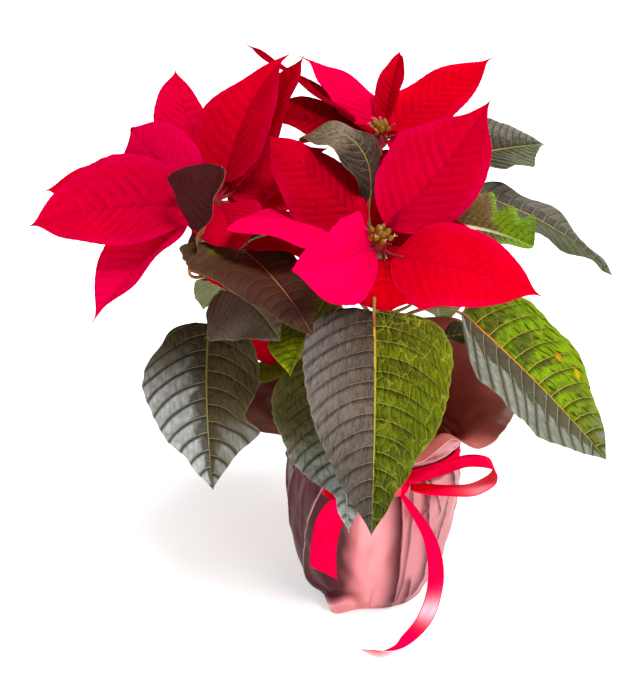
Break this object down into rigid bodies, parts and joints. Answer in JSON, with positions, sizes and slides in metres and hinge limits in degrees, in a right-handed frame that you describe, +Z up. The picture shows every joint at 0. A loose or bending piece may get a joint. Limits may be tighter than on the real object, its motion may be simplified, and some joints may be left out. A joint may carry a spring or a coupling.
{
  "type": "potted poinsettia",
  "caption": "Poinsettia with red bracts and large green leaves, rooted in a plastic pot, standing in a gathered film wrap tied with a satin ribbon bow.",
  "frame": {"origin": "centre of the flat bottom of the wrap, under the pot", "axes": "+Z up, -Y the front of the plant, where the bow is tied, +X to the right seen from the front"},
  "size_m": [0.4319, 0.384, 0.4137],
  "materials": {
    "pot": "plain moulded plant pot",
    "soil": "damp dark potting soil",
    "film": "dusty rose metallised film, softly crumpled",
    "ribbon": "red satin",
    "stem": "green, half woody",
    "bract": "soft leaf skin, bright red",
    "flower": "yellow-green waxy cups",
    "leaf": "satin leaf skin, dark green"
  },
  "bodies": {
    "root": {"pot": "pot", "soil": "soil", "wrap": "film", "ribbon_band": "ribbon", "ribbon_knot": "ribbon", "ribbon_loop_right": "ribbon", "ribbon_loop_left": "ribbon", "ribbon_tail_right": "ribbon", "ribbon_tail_left": "ribbon", "stems": "stem", "bloom_front_bracts": "bract", "bloom_front_flowers": "flower", "bloom_left_bracts": "bract", "bloom_left_flowers": "flower", "bloom_rear_bracts": "bract", "bloom_rear_flowers": "flower", "bloom_back_bracts": "bract", "bloom_back_flowers": "flower", "bloom_low_bracts": "bract", "bloom_low_flowers": "flower", "leaf_front": "leaf", "leaf_front_left": "leaf", "leaf_left": "leaf", "leaf_right": "leaf", "leaf_over_left": "leaf", "leaf_under_left": "leaf", "leaf_inner_front": "leaf", "leaf_upright_left": "leaf", "leaf_arched_middle": "leaf", "leaf_right_upper": "leaf", "leaf_right_middle": "leaf", "leaf_right_lobed": "leaf", "leaf_right_low": "leaf", "leaf_left_low": "leaf", "leaf_young_middle": "leaf", "leaf_back_right_high": "leaf", "leaf_back_right_low": "leaf", "leaf_back_middle": "leaf", "leaf_back_left": "leaf", "leaf_back_left_high": "leaf"}
  },
  "joints": []
}
